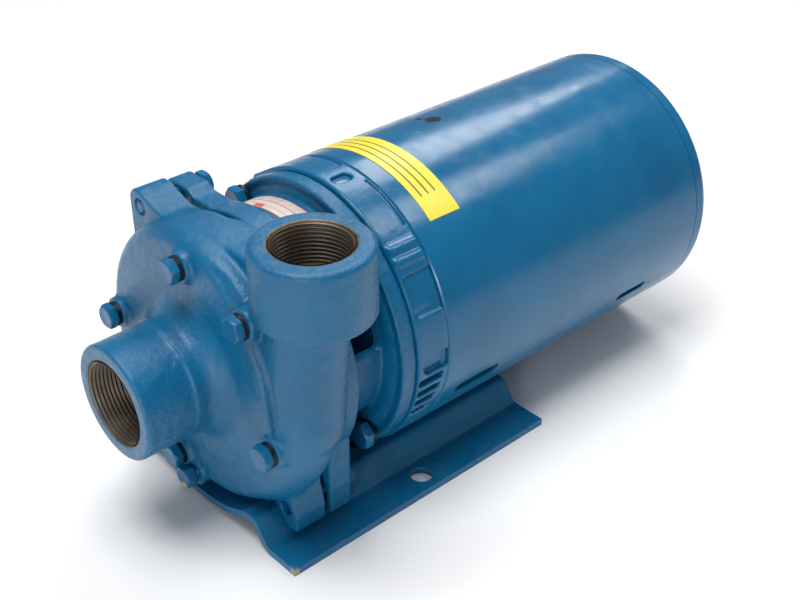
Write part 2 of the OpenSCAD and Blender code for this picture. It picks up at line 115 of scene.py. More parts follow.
def turn(g):
    """Radius and angle in degrees about the shaft."""
    return np.hypot(g[1], g[2]), np.degrees(np.arctan2(g[2], g[1])) % 360


def linked(name, data):
    """A new object in the scene."""
    made = bpy.data.objects.new(name, data)
    bpy.context.scene.collection.objects.link(made)
    return made


def mesh_object(name, points, faces, material, body="stator", sharp=None):
    mesh = bpy.data.meshes.new(name)
    mesh.from_pydata(points, [], faces)
    mesh.validate()
    for polygon in mesh.polygons:
        polygon.use_smooth = True
    if sharp:
        mesh.set_sharp_from_angle(angle=radians(sharp))
    mesh.materials.append(material)
    piece = linked(name, mesh)
    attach(piece, body)
    return piece


def surface_of(name, field, low, pitch, material):
    """The zero surface of a field as a smooth mesh that rides on the stator."""
    volume = openvdb.FloatGrid(float(pitch) * 3)
    volume.copyFromArray(np.ascontiguousarray(np.clip(field, -3 * pitch, 3 * pitch), np.float32))
    points, quads = volume.convertToQuads(0.0)
    points = (np.asarray(points) * pitch + np.array(low)) * MM + np.array([FACE_X, 0, SHAFT_Z])
    faces = np.asarray(quads)[:, ::-1].tolist()
    return mesh_object(name, points.tolist(), faces, material)


# ---------------------------------------------------------------- sizes, in millimetres

DOME_FRONT, DOME_R, RIM_ROUND = 46.0, 78.0, 9.0
LUG_FRONT, JOINT, BRACKET_FRONT, BRACKET_BACK = 61.0, 84.0, 84.8, 99.5
RING_FRONT, RING_BACK = 125.0, 135.0
BELL_END, SHELL_END = 157.0, 374.0
MOTOR_R = 82.5
SUCTION_R, SUCTION_BORE = 32.1, 23.4
PORT_AT, PORT_R, PORT_BORE, PORT_TOP, PORT_BASE = (74.3, -73.0), 31.0, 20.5, 96.9, 57.0
THREAD_DEPTH, THREAD_PITCH = 22.0, 2.209
BOSS_FRONT = 44.0
CASING_SCREWS = ((3, 67), (92, 63.5), (135, 77), (191, 72), (283, 65.5))
DRAIN_AT = (4.0, -72.5)
LUGS = ((57.0, 68.0), (58.0, -68.0), (-58.0, -68.0))
NECK_R, NECK_TOP_R = 64.0, 70.0
FLANGE_W, FLANGE_H = 67.0, 77.0
PLATE = 4.5
TOE_Y, CREST_Y, CREST_Z = 62.9, 49.3, -71.5
FLOOR_Z = -SHAFT_Z / MM
ON_SHAFT = (0, 0)
# Scroll: the tube's own radius, its distance from the shaft, its place along x, how much the distance
# grows, the angle where it starts and the angle that it sweeps
SCROLL_TUBE, SCROLL_R, SCROLL_X, SCROLL_GROWTH = 18, 59, 65.5, 14
SCROLL_START, SCROLL_SWEEP = 110, 290
THROAT_WALL, IMPELLER_ROOM, WEAR_PLATE_R = 7.5, 66.5, 72
# Circle of the screws on the motor's face, circle of the bolts through the motor, and the bracket's windows
FACE_CIRCLE, FACE_ANGLES = 74.6, (45, 135, 225, 315)
BOLT_CIRCLE, BOLT_ANGLES = 67.8, (0, 90, 180, 270)
WINDOWS = ((8, 52), (128, 172), (212, 246), (294, 328))
# Louvres of the front bell: angle, and where each one ends. Slots of the shell: angles, and from, to, width
LOUVRES = ((188.0, 153.5), (193.2, 152.5), (198.4, 150.5), (203.6, 147.0))
SLOT_ANGLES, SLOTS = (204.2, 223, 335.8, 317), ((169.5, 204, 7.2), (310, 337, 6.2))
# Screws: across the flats, height of the head, radius of the shank
SMALL_SCREW, FACE_SCREW, DRAIN_PLUG = (12.7, 5.3, 3.9), (14.3, 6.2, 4.65), (11.4, 6.3, 4.95)
# Stickers: from x to x, from angle to angle
TAG_AT, LABEL_AT = (106.5, 121.5, 58, 100), (169.8, 191.6, 48, 129.5)


# ---------------------------------------------------------------- materials

def material(name):
    made = bpy.data.materials.new(name)
    made.use_nodes = True
    tree = made.node_tree
    return made, tree, tree.nodes["Principled BSDF"]


def node(tree, kind, **settings):
    made = tree.nodes.new(kind)
    for key, value in settings.items():
        if key in made.inputs:
            made.inputs[key].default_value = value
        else:
            setattr(made, key, value)
    return made


def noise(tree, scale, detail=4.0, roughness=0.55):
    """Noise in the object's own metres, so it doesn't depend on UVs."""
    place = node(tree, "ShaderNodeTexCoord")
    made = node(tree, "ShaderNodeTexNoise", Scale=scale, Detail=detail, Roughness=roughness)
    tree.links.new(place.outputs["Object"], made.inputs["Vector"])
    return made.outputs["Fac"]


def ramp(tree, source, stops):
    made = node(tree, "ShaderNodeValToRGB")
    elements = made.color_ramp.elements
    while len(elements) < len(stops):
        elements.new(0.5)
    for element, (position, colour) in zip(elements, stops):
        element.position = position
        element.color = (*colour, 1)
    tree.links.new(source, made.inputs["Fac"])
    return made.outputs["Color"]


def grey(value):
    return (value, value, value)


def mixed(tree, factor, a, b):
    made = tree.nodes.new("ShaderNodeMix")
    made.data_type = "RGBA"
    for socket, value in ((made.inputs["Factor"], factor), (made.inputs[6], a), (made.inputs[7], b)):
        if isinstance(value, tuple):
            socket.default_value = (*value, 1)
        elif isinstance(value, float):
            socket.default_value = value
        else:
            tree.links.new(value, socket)
    return made.outputs[2]


def bumps(tree, shader, layers):
    """Stacks bump layers of (height source, distance in metres, strength)."""
    last = None
    for source, distance, strength in layers:
        made = node(tree, "ShaderNodeBump", Distance=distance, Strength=strength)
        tree.links.new(source, made.inputs["Height"])
        if last:
            tree.links.new(last, made.inputs["Normal"])
        last = made.outputs["Normal"]
    tree.links.new(last, shader.inputs["Normal"])


BLUE_DEEP, BLUE, BLUE_PALE = (0.001, 0.070, 0.170), (0.002, 0.122, 0.272), (0.006, 0.165, 0.340)
BARE_IRON, RUST = (0.115, 0.098, 0.080), (0.16, 0.075, 0.030)


def spot(tree, centre, radius):
    """1 inside a ragged spot round a point of the pump's frame, 0 outside."""
    place = node(tree, "ShaderNodeTexCoord")
    away = node(tree, "ShaderNodeVectorMath", operation="DISTANCE")
    tree.links.new(place.outputs["Object"], away.inputs[0])
    away.inputs[1].default_value = to_row(*centre)
    ragged = node(tree, "ShaderNodeMath", operation="MULTIPLY_ADD")
    tree.links.new(noise(tree, 300, 5, 0.75), ragged.inputs[0])
    ragged.inputs[1].default_value = 2.2 * radius * MM
    tree.links.new(away.outputs["Value"], ragged.inputs[2])
    inside = node(tree, "ShaderNodeMapRange")
    inside.inputs["From Min"].default_value = 2.05 * radius * MM
    inside.inputs["From Max"].default_value = 2.15 * radius * MM
    inside.inputs["To Min"].default_value = 1.0
    inside.inputs["To Max"].default_value = 0.0
    tree.links.new(ragged.outputs[0], inside.inputs["Value"])
    return inside.outputs[0]


def enamel(name, grain, lumps, wear=0.0, roughness=0.30, spots=()):
    """Blue machinery enamel. grain and lumps are bump depths in metres, wear bares sharp edges."""
    made, tree, shader = material(name)
    cloud = noise(tree, 22, 5)
    colour = ramp(tree, cloud, ((0.30, BLUE_DEEP), (0.52, BLUE), (0.75, BLUE_PALE)))
    colour = mixed(tree, 0.62, colour, BLUE)
    if wear:
        geometry = node(tree, "ShaderNodeNewGeometry")
        edge = ramp(tree, geometry.outputs["Pointiness"], ((0.56, grey(0)), (0.66, grey(1))))
        patches = ramp(tree, noise(tree, 130, 6, 0.7), ((0.50, grey(0)), (0.62, grey(wear))))
        both = node(tree, "ShaderNodeMath", operation="MULTIPLY")
        tree.links.new(edge, both.inputs[0])
        tree.links.new(patches, both.inputs[1])
        colour = mixed(tree, both.outputs[0], colour, BARE_IRON)
    for centre, radius, under in spots:
        colour = mixed(tree, spot(tree, centre, radius), colour, under)
    tree.links.new(colour, shader.inputs["Base Color"])
    sheen = ramp(tree, noise(tree, 90, 4), ((0.3, grey(roughness - 0.06)), (0.7, grey(roughness + 0.10))))
    tree.links.new(sheen, shader.inputs["Roughness"])
    shader.inputs["Specular IOR Level"].default_value = 0.42
    shader.inputs["Coat Weight"].default_value = 0.05
    shader.inputs["Coat Roughness"].default_value = 0.14
    bumps(tree, shader, ((noise(tree, 130, 3), lumps, 1.0), (noise(tree, 900, 5, 0.65), grain, 1.0)))
    return made


def bare_metal(name, colour, dark, roughness, grain=0.00003):
    made, tree, shader = material(name)
    tree.links.new(ramp(tree, noise(tree, 260, 6, 0.65), ((0.30, dark), (0.68, colour))),
                   shader.inputs["Base Color"])
    shader.inputs["Metallic"].default_value = 0.85
    tree.links.new(ramp(tree, noise(tree, 400, 4), ((0.3, grey(roughness - 0.08)),
                                                   (0.7, grey(roughness + 0.12)))),
                   shader.inputs["Roughness"])
    bumps(tree, shader, ((noise(tree, 900, 5, 0.6), grain, 0.8),))
    return made


def plain(name, colour, dark, roughness, grain=0.00004):
    made, tree, shader = material(name)
    tree.links.new(ramp(tree, noise(tree, 160, 5), ((0.3, dark), (0.7, colour))),
                   shader.inputs["Base Color"])
    shader.inputs["Roughness"].default_value = roughness
    bumps(tree, shader, ((noise(tree, 700, 4), grain, 0.8),))
    return made


def thread_metal():
    """Bare iron threads: painted shade darkens the roots to near black, the crests are lighter worn iron,
    with rust in patches.
    """
    made, tree, shader = material("thread_iron")
    geometry = node(tree, "ShaderNodeNewGeometry")
    # Painted shade: concave thread roots go near black where shade falls; convex crests are lighter worn
    # iron.
    worn_crests_and_root_shade = ramp(tree, geometry.outputs["Pointiness"], ((0.42, (0.012, 0.010, 0.008)),
                                                        (0.50, BARE_IRON), (0.60, (0.40, 0.36, 0.31))))
    stain = ramp(tree, noise(tree, 140, 6, 0.7), ((0.48, grey(0)), (0.66, grey(0.65))))
    tree.links.new(mixed(tree, stain, worn_crests_and_root_shade, RUST), shader.inputs["Base Color"])
    shader.inputs["Metallic"].default_value = 0.55
    shader.inputs["Roughness"].default_value = 0.42
    bumps(tree, shader, ((noise(tree, 1200, 5), 0.00005, 0.9),))
    return made


CHIP, OLD_YELLOW = (0.006, 0.008, 0.012), (0.62, 0.42, 0.05)
CAST = enamel("enamel_cast", 0.00034, 0.0010, wear=0.5, roughness=0.23)
SHEET = enamel("enamel_sheet", 0.000010, 0.00008, roughness=0.20,
               spots=(((232, 11.5, 81.7), 5, CHIP), ((229, 20, 80), 2, CHIP)))
BELL_PAINT = enamel("enamel_bell", 0.00005, 0.0003, wear=0.3, roughness=0.22)
PLATE_PAINT = enamel("enamel_plate", 0.000015, 0.00014, wear=0.25, roughness=0.30,
                     spots=(((45.6, -84, -87), 3.4, (0.30, 0.27, 0.22)),
                            ((140, -64, -79), 3, (0.05, 0.13, 0.17))))
FASTENER = enamel("enamel_fastener", 0.00003, 0.00012, wear=1.0, roughness=0.22)
PLUG_PAINT = enamel("enamel_plug", 0.00003, 0.00012, wear=1.0, roughness=0.24,
                    spots=(((37, 3, -78.5), 3.2, OLD_YELLOW),))
THREADS = thread_metal()
DARK_STEEL = bare_metal("dark_steel", (0.060, 0.062, 0.065), (0.012, 0.014, 0.018), 0.42)
STEEL = bare_metal("steel", (0.56, 0.55, 0.53), (0.34, 0.33, 0.32), 0.30)
IRON = bare_metal("iron", (0.22, 0.20, 0.18), (0.09, 0.075, 0.06), 0.55)
BARE_CAST = bare_metal("bare_casting", (0.25, 0.20, 0.125), (0.085, 0.060, 0.035), 0.50, 0.00012)
BRONZE = bare_metal("bronze", (0.52, 0.36, 0.17), (0.28, 0.19, 0.09), 0.38)
BRASS = bare_metal("brass", (0.72, 0.52, 0.22), (0.50, 0.34, 0.13), 0.30)
ALUMINIUM = bare_metal("aluminium", (0.70, 0.71, 0.72), (0.50, 0.51, 0.52), 0.36)
COPPER = plain("varnished_copper", (0.50, 0.20, 0.08), (0.24, 0.09, 0.04), 0.32, 0.0003)
RUBBER = plain("rubber", (0.022, 0.022, 0.024), (0.012, 0.012, 0.013), 0.65)
CERAMIC = plain("ceramic", (0.82, 0.80, 0.76), (0.72, 0.70, 0.66), 0.22, 0.00001)
PAPER_WHITE = plain("paper_white", (0.66, 0.63, 0.57), (0.52, 0.50, 0.45), 0.42, 0.00002)
PAPER_YELLOW = plain("paper_yellow", (0.84, 0.73, 0.055), (0.78, 0.66, 0.04), 0.38, 0.00002)
RED_INK = plain("red_ink", (0.72, 0.085, 0.060), (0.60, 0.07, 0.05), 0.42, 0.00002)
BLACK_INK = plain("black_ink", (0.10, 0.085, 0.03), (0.06, 0.05, 0.02), 0.42, 0.00002)
PHENOLIC = plain("phenolic", (0.09, 0.055, 0.035), (0.05, 0.03, 0.02), 0.40)


# ---------------------------------------------------------------- castings

def bend_z(y):
    """Upper face of the base plate beside the saddle: half a cosine between toe and crest."""
    t = np.clip((TOE_Y - np.abs(y)) / (TOE_Y - CREST_Y), 0, 1)
    low = FLOOR_Z + PLATE
    return low + (CREST_Z - low) * (0.5 - 0.5 * np.cos(pi * t))


def above_base(g, gap):
    """Negative above the base plate, so a common() with it clears the base."""
    saddle = -np.sqrt(np.maximum(MOTOR_R ** 2 - g[1] ** 2, 0))
    top = np.where(np.abs(g[1]) < CREST_Y, saddle, bend_z(g[1]))
    return (top + gap - g[2]) * 0.72


def lower_corners(g):
    """Corner plates that reach down to the base."""
    return grown(np.abs(np.abs(g[1]) - (FLANGE_W - 10)) - 7, np.abs(g[2] + 71) - 7, 3)


def flange_outline(g, half_h):
    outline = merge(rounded_square(g, FLANGE_W, half_h, 7), lower_corners(g), 1)
    for y, z in ((26, half_h + 53), (-FLANGE_W - 56, -45)):
        outline = cut(outline, np.hypot(g[1] - y, g[2] - z) - 60, 2)
    return outline


def unpainted(piece):
    """The casing's threads and water passages stay bare iron."""
    polygons = piece.data.polygons
    middle = np.empty(len(polygons) * 3)
    polygons.foreach_get("center", middle)
    x, y, z = ((middle.reshape(-1, 3) - np.array([FACE_X, 0, SHAFT_Z])) / MM).T
    across = np.hypot(x - PORT_AT[0], y - PORT_AT[1])
    bare = (across < PORT_BORE + 0.5) & (z < PORT_TOP - 1.3) & (z > PORT_BASE + 4)
    bare |= (across < PORT_BORE + 1.5) & (z > PORT_TOP - 3)
    radius = np.hypot(y, z)
    bare |= (radius < SUCTION_BORE + 1.1) & (x < DOME_FRONT + 7)
    bare |= (radius < 72.5) & (x > DOME_FRONT + 6) & (x < JOINT - 0.5)
    piece.data.materials.append(BARE_CAST)
    polygons.foreach_set("material_index", bare.astype(np.int32))


def scroll(g):
    """A tube round the shaft that moves out towards the throat, then falls back under it."""
    radius, angle = turn(g)
    swept = (SCROLL_START - angle) % 360
    growth = SCROLL_GROWTH * (np.minimum(swept, SCROLL_SWEEP) / SCROLL_SWEEP) ** 3.5
    growth = growth * np.clip(1 - (swept - SCROLL_SWEEP) / 25, 0, 1)
    return np.hypot(radius - (SCROLL_R + growth), g[0] - SCROLL_X) - SCROLL_TUBE


def throat_under_port(g):
    """The leaning column that joins the scroll to the discharge port."""
    x, y, z = g
    up = np.clip((z + 10) / 76, 0, 1)
    column = np.hypot(x - 67 - 2.5 * up, y + 71 + 3 * up) - 20 - 1.5 * up
    return rounded(column, between(z, -14, 70), 8)


def rim_groove(g):
    """Groove outside the dome's rim, along the throat."""
    radius, angle = turn(g)
    path = 77.3 - 5.8 * np.clip((angle - 109) / 32, 0, 1)
    return np.hypot(radius - path, g[0] - 47.6) - 3.6 + 6 * np.clip(np.abs(angle - 143) / 30 - 1, 0, 2)


def joint_slits(g):
    """The joint stands open where the flange runs past the bracket's register."""
    x, y, z = g
    radius = np.hypot(y, z)
    slit = np.maximum(JOINT - 3.2 * np.clip((y - 8) / 30, 0, 1) - x, 70.5 - radius)
    low_slit = np.maximum(np.maximum(JOINT - 3 - x, 74 - radius), np.maximum(y + 20, z + 30))
    return np.maximum(slit, 8 - y), low_slit


def bored(body, g, throat):
    """The casing with its ports, its chamber and its throat opened."""
    x, y, z = g
    body = cut(body, rod_x(g, -5, THREAD_DEPTH, ON_SHAFT, SUCTION_BORE), 0.6)
    body = cut(body, rod_x(g, 10, 57, ON_SHAFT, 20), 0.5)
    body = cut(body, rod_x(g, 54, JOINT + 4, ON_SHAFT, IMPELLER_ROOM), 0.5)
    body = cut(body, rod_x(g, 54, 59.4, ON_SHAFT, WEAR_PLATE_R), 0.5)
    body = cut(body, rod_z(g, PORT_TOP - THREAD_DEPTH, PORT_TOP + 5, PORT_AT, PORT_BORE), 0.6)
    body = cut(body, rod_z(g, 20, 80, PORT_AT, 15.5), 2)
    body = cut(body, throat + THROAT_WALL, 2)
    # Chamfered mouths
    mouth = np.hypot(y, z) - SUCTION_BORE - 0.8 + x
    body = cut(body, np.maximum(mouth, x - 2), 0.4)
    mouth = np.hypot(x - PORT_AT[0], y - PORT_AT[1]) - PORT_BORE - 0.9 - (z - PORT_TOP)
    return cut(body, np.maximum(mouth, PORT_TOP - 2 - z), 0.4)


def crescent(g, lug):
    """The crescent that stays open round a screw's end, in a lug that is otherwise filled."""
    x, y, z = g
    ring = np.abs(np.hypot(y - lug[0], z - lug[1]) - 4.0) - 0.75
    open_side = (lug[0] - y) * 0.55 + (z - lug[1]) * 0.2 - 2.2
    return np.maximum(np.maximum(ring, open_side), x - LUG_FRONT - 1.6)


def casing():
    low, high, pitch = (-2.0, -107.0, -84.0), (108.0, 88.0, 100.0), 0.8
    g = grid(low, high, pitch)
    x, y, z = g
    radius = np.hypot(y, z)
    # Dome with a slightly crowned face and a rounded rim
    front = DOME_FRONT + 1.6 * (radius / DOME_R) ** 2
    body = rounded(radius - DOME_R, np.maximum(front - x, x - JOINT), RIM_ROUND)
    throat = throat_under_port(g)
    body = merge(merge(body, scroll(g), 3), throat, 4)
    body = cut(body, rim_groove(g), 2.4)
    # Square flange that the lug screws go through, and the discharge boss
    flange = rounded(flange_outline(g, FLANGE_H), between(x, LUG_FRONT, JOINT), 1.4)
    body = merge(body, flange, 2.6)
    body = merge(body, rod_z(g, PORT_BASE + 1, PORT_TOP, PORT_AT, PORT_R, 3.2), 2.6)
    # Suction boss, with a flare at its root
    body = merge(body, rod_x(g, 0, 60, ON_SHAFT, SUCTION_R, 2.0), 4)
    flare = (np.hypot(y + 2, z - 2) - 30.5 - 11 * np.clip((x - 34) / 13, 0, 1) ** 2) * 0.8
    body = merge(body, np.maximum(flare, between(x, 30, 55)), 2)
    for a, r in CASING_SCREWS:
        body = merge(body, rod_x(g, BOSS_FRONT, 60, polar(a, r), 8.8, 1.0), 2.4)
    body = merge(body, rod_x(g, BOSS_FRONT + 1, 60, DRAIN_AT, 8.2, 1.0), 2.4)
    # Joint face, and the room that the bracket and the base need
    body = cut(body, np.maximum(np.maximum(JOINT - x, -y - DOME_R), z - (PORT_BASE - 3)), 0.8)
    body = common(body, above_base(g, 0.8), 0.8)
    for slit in joint_slits(g):
        body = cut(body, slit, 0.3)
    body = bored(body, g, throat)
    # The two lower lug holes go through, the far upper one is filled but for a crescent
    for lug in LUGS[1:]:
        body = cut(body, rod_x(g, LUG_FRONT - 5, JOINT + 5, lug, 4.2), 0.6)
    body = cut(body, crescent(g, LUGS[0]), 0.4)
    piece = surface_of("casing", body, low, pitch, CAST)
    unpainted(piece)
    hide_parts("volute_casing")


def arc_bar(g, x0, x1, a0, a1, r0, r1, edge=0.0):
    """A block bent round the shaft: between two planes, two angles and two radii."""
    radius, angle = turn(g)
    half = (a1 - a0) / 2
    turned_away = (angle - (a0 + a1) / 2 + 180) % 360 - 180
    sides = (np.abs(turned_away) - half) * radius * radians(1)
    return rounded(rounded(between(g[0], x0, x1), sides, edge), between(radius, r0, r1), 0)


def bracket():
    low, high, pitch = (82.0, -84.0, -84.0), (138.0, 84.0, 84.0), 0.8
    g = grid(low, high, pitch)
    x, y, z = g
    radius, angle = turn(g)
    # Slab, which reaches down to the base and up to the far lug screw
    outline = merge(rounded_square(g, FLANGE_W, 71, 7), lower_corners(g), 1)
    outline = merge(outline, grown(np.abs(y - FLANGE_W + 11) - 7, np.abs(z - 64) - 5.8, 4), 6)
    outline = common(outline, above_base(g, 1.2), 1)
    outline = np.minimum(outline, radius - 75.5)
    body = rounded(outline, between(x, BRACKET_FRONT, BRACKET_BACK), 1.2)
    # Neck with its windows, seal housing and motor ring
    on_top = np.clip((47 - np.abs(angle - 90)) / 6, 0, 1)
    outer = NECK_R + (NECK_TOP_R - NECK_R) * on_top
    neck = np.maximum(np.maximum(radius - outer, 58 - radius), between(x, BRACKET_BACK - 4, RING_FRONT + 4))
    for a0, a1 in WINDOWS:
        neck = cut(neck, arc_bar(g, BRACKET_BACK, RING_FRONT, a0, a1, 50, 80, 3), 1)
    body = merge(body, neck, 2.5)
    body = merge(body, rod_x(g, BRACKET_BACK - 4, 107, ON_SHAFT, 30, 1.5), 2)
    body = merge(body, rod_x(g, RING_FRONT, RING_BACK, ON_SHAFT, 80.7, 1.6), 1.5)
    # Dished face of the ring, outside the neck
    dish = np.maximum(np.abs(x - RING_FRONT) - 1.6 + 0.4 * np.abs(radius - 75), between(radius, 71, 79))
    body = cut(body, dish, 1)
    # Bores
    body = cut(body, rod_x(g, BRACKET_FRONT - 5, 96, ON_SHAFT, 19.1), 0.4)
    body = cut(body, rod_x(g, BRACKET_FRONT - 5, 112, ON_SHAFT, 11.1), 0.4)
    body = cut(body, rod_x(g, RING_FRONT - 4, RING_BACK - 3.8, ON_SHAFT, 58), 0.8)
    body = cut(body, rod_x(g, RING_BACK - 4, RING_BACK + 4, ON_SHAFT, 57.35), 0.4)
    for a in FACE_ANGLES:
        body = cut(body, rod_x(g, RING_FRONT - 4, RING_BACK + 4, polar(a, FACE_CIRCLE), 5.3), 0.6)
    for lug in LUGS:
        body = cut(body, rod_x(g, BRACKET_FRONT - 4, BRACKET_BACK + 4, lug, 4.5), 0.5)
    relief = rod_z(g, PORT_BASE - 5, PORT_TOP, PORT_AT, PORT_R + 2.5)
    body = cut(body, np.maximum(relief, 73 - radius), 0.5)
    piece = surface_of("bracket", body, low, pitch, CAST)
    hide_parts("motor_bracket")


def bell_outside(body, g):
    """Ribs, pockets, louvres, notch and seams on the bell's outside."""
    x, y, z = g
    # Raised ribs and a shallow pocket on the shoulders
    for side in (1, -1):
        for a in (133.5, 138.5):
            at = polar(a, 79.9)
            body = merge(body, rod_x(g, RING_BACK + 1, BELL_END - 1, (at[0] * side, at[1]), 4.4, 1.6), 0.8)
        a0, a1 = (144, 160) if side > 0 else (20, 36)
        body = cut(body, arc_bar(g, 137, 160, a0, a1, MOTOR_R - 1.5, 95, 3), 1.4)
        dent = polar(158.2, MOTOR_R)
        away = np.hypot((x - 143) / 6.5, np.hypot(y - dent[0] * side, z - dent[1]) / 2.4)
        body = cut(body, (away - 1) * 2.2, 0.6)
    # Air louvres low on both sides, under a half-round pocket that runs off to the back
    for a, end in LOUVRES:
        for at in (a, 540 - a):
            body = cut(body, arc_bar(g, RING_BACK + 1.2, end, at - 1.55, at + 1.55, 66, 95, 0.8), 0.3)
    for a0, a1 in ((176.5, 185.0), (355, 363.5)):
        body = cut(body, arc_bar(g, 138, 159, a0, a1, MOTOR_R - 3.4, 95, 6), 0.5)
    # Notch and seam on top
    body = cut(body, arc_bar(g, RING_BACK + 4, 151, 94.5, 99.5, MOTOR_R - 2.4, 95, 3), 0.8)
    for a0, a1 in ((69, 89), (103, 127)):
        body = cut(body, arc_bar(g, 154.1, 155.6, a0, a1, MOTOR_R - 1.6, 95), 0.3)
    return body


def bell_inside(body, g):
    """Hollow inside, with the spigot for the shell, hub, ribs, bolt bosses and holes."""
    x, y, z = g
    radius = np.hypot(y, z)
    body = cut(body, rod_x(g, RING_BACK + 6, 180, ON_SHAFT, MOTOR_R - 9), 0.8)
    spigot = np.maximum(between(radius, MOTOR_R - 9, MOTOR_R - 2.4), between(x, BELL_END - 3, BELL_END + 6))
    body = merge(body, spigot)
    body = merge(body, rod_x(g, RING_BACK + 3, 159, ON_SHAFT, 27), 1)
    for a in range(0, 180, 45):
        side = np.abs(y * sin(radians(a + 22.5)) - z * cos(radians(a + 22.5))) - 2.5
        rib = np.maximum(np.maximum(side, between(x, RING_BACK + 4, RING_BACK + 15)), between(radius, 26, 76))
        body = merge(body, rib, 1)
    for a in BOLT_ANGLES:
        body = merge(body, rod_x(g, RING_BACK + 4, 166, polar(a, BOLT_CIRCLE), 6), 1)
        body = cut(body, rod_x(g, RING_BACK + 4, 170, polar(a, BOLT_CIRCLE), 2.6), 0.3)
    body = merge(body, rod_x(g, RING_BACK - 3.6, RING_BACK + 3, ON_SHAFT, 57.1))
    body = cut(body, rod_x(g, 146, 170, ON_SHAFT, 20.1), 0.3)
    body = cut(body, rod_x(g, 125, 150, ON_SHAFT, 13), 0.5)
    for a in FACE_ANGLES:
        body = cut(body, rod_x(g, 130, 148, polar(a, FACE_CIRCLE), 4.8), 0.4)
    return body


def front_bell():
    low, high, pitch = (129.5, -86.0, -86.0), (165.5, 86.0, 86.0), 0.75
    g = grid(low, high, pitch)
    body = rod_x(g, RING_BACK, BELL_END, ON_SHAFT, MOTOR_R, 1.2)
    body = bell_inside(bell_outside(body, g), g)
    piece = surface_of("front_bell", body, low, pitch, BELL_PAINT)
    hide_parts("front_end_bell")


def lathe(profile, turns, steps=1):
    """Points and faces of a closed outline of (x, r) turned round the shaft, long sides in steps."""
    outline = []
    for (x0, r0), (x1, r1) in zip(profile, profile[1:] + profile[:1]):
        parts = steps if abs(x1 - x0) > 50 else 1
        outline += [(x0 + (x1 - x0) * k / parts, r0 + (r1 - r0) * k / parts) for k in range(parts)]
    points = [to_row(x, *polar(360 * i / turns, r)) for x, r in outline for i in range(turns)]
    n, faces = len(outline), []
    for j in range(n):
        for i in range(turns):
            a, b, k = j * turns, (j + 1) % n * turns, (i + 1) % turns
            faces.append((a + i, b + i, b + k, a + k))
    return points, faces


def slot_cutter(x0, x1, angle, width):
    """A rounded bar that stands out from the shaft at an angle, to cut an air slot."""
    half, points, n = width / 2, [], 12
    ring = 2 * n
    for r in (MOTOR_R - 8, MOTOR_R + 8):
        for k in range(ring):
            a = radians(90 + (k if k < n else k - 1) * 180 / (n - 1))
            end = x0 + half if k < n else x1 - half
            along, across = end + half * cos(a), half * sin(a)
            points.append(to_row(along, *(Vector(polar(angle, r)) + Vector(polar(angle + 90, across)))))
    faces = [tuple(range(ring)), tuple(range(2 * ring - 1, ring - 1, -1))]
    faces += [(k, k + ring, (k + 1) % ring + ring, (k + 1) % ring) for k in range(ring)]
    mesh = bpy.data.meshes.new("cutter")
    mesh.from_pydata(points, [], faces)
    return linked("cutter", mesh)


def shell():
    inner = MOTOR_R - 2.2
    profile = [(BELL_END + 0.1, inner), (SHELL_END, inner), (SHELL_END, MOTOR_R - 0.5),
               (SHELL_END - 0.5, MOTOR_R), (BELL_END + 0.8, MOTOR_R), (BELL_END + 0.1, MOTOR_R - 0.7)]
    points, faces = lathe(profile, 160, 30)
    piece = mesh_object("shell", points, faces, SHEET)
    cutters = [slot_cutter(x0, x1, a, width) for a in SLOT_ANGLES for x0, x1, width in SLOTS]
    for cutter in cutters:
        step = piece.modifiers.new("slot", "BOOLEAN")
        step.operation, step.solver, step.object = "DIFFERENCE", "EXACT", cutter
    made = bpy.data.meshes.new_from_object(piece.evaluated_get(bpy.context.evaluated_depsgraph_get()))
    piece.modifiers.clear()
    piece.data = made
    for polygon in made.polygons:
        polygon.use_smooth = True
    made.set_sharp_from_angle(angle=radians(28))
    for cutter in cutters:
        bpy.data.objects.remove(cutter)
    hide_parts("motor_shell")


def hex_screws(name, stands_for, places, x, size, length, finish, out=-1, clock=(0,)):
    """Chamfered hexagon heads on threaded shanks. out is the side of x that the heads are on."""
    across, head, shank = size
    chamfer = across / 2 * 0.94
    turns, pitch = 72, 1.4

    def flat(a):
        """Radius of the hexagon in a direction."""
        return across / 2 / cos(radians((a + 30) % 60 - 30))

    def top(a):
        """Height at which the chamfer meets the hexagon's side."""
        return head - (flat(a) - chamfer) * 0.62

    def towards(a, value):
        return value(a) if callable(value) else value

    # Rings of (radius, height) from the middle of the head to the end of the shank
    rings = [(0.02, head - 0.15), (chamfer * 0.7, head - 0.15), (chamfer * 0.86, head), (chamfer, head),
             (lambda a: flat(a) - 0.15, lambda a: top(a) + 0.05), (flat, lambda a: top(a) - 0.2),
             (flat, 0.45), (across / 2 * 0.96, 0.3), (across / 2 * 0.96, 0)]
    for k in range(int(length / pitch * 4) + 1):
        rings.append((shank - (0, 0.25, 0.5, 0.25)[k % 4], -k * pitch / 4))
    rings.append((0.02, -length))
    points, faces = [], []
    for n, (y, z) in enumerate(places):
        start, twist = len(points), clock[n % len(clock)]
        for radius, height in rings:
            for i in range(turns):
                a = 360 * i / turns
                u, v = polar(a + twist, towards(a, radius))
                points.append(to_row(x + out * towards(a, height), y + u, z + v))
        for first in range(start, len(points) - turns, turns):
            for i in range(turns):
                k = (i + 1) % turns
                quad = (first + i, first + turns + i, first + turns + k, first + k)
                faces.append(quad if out > 0 else quad[::-1])
    piece = mesh_object(name, points, faces, finish, sharp=32)
    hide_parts(stands_for)


def tag_rules(i, j):
    """On a grid of 60 by 210: a border, two rules along the tag, two across it and one block."""
    border = i < 2 or i > 57 or j < 2 or j > 207
    along = i in (15, 16, 34, 35, 36) and j < 190
    across = j in (52, 53, 120, 121) and i > 35
    block = 80 < j < 112 and 2 < i < 15
    return border or along or across or block


def label_rules(i, j):
    """On a grid of 44 by 160: three plain rules."""
    return i in (9, 10, 19, 20, 29, 30) and 8 < j < 140


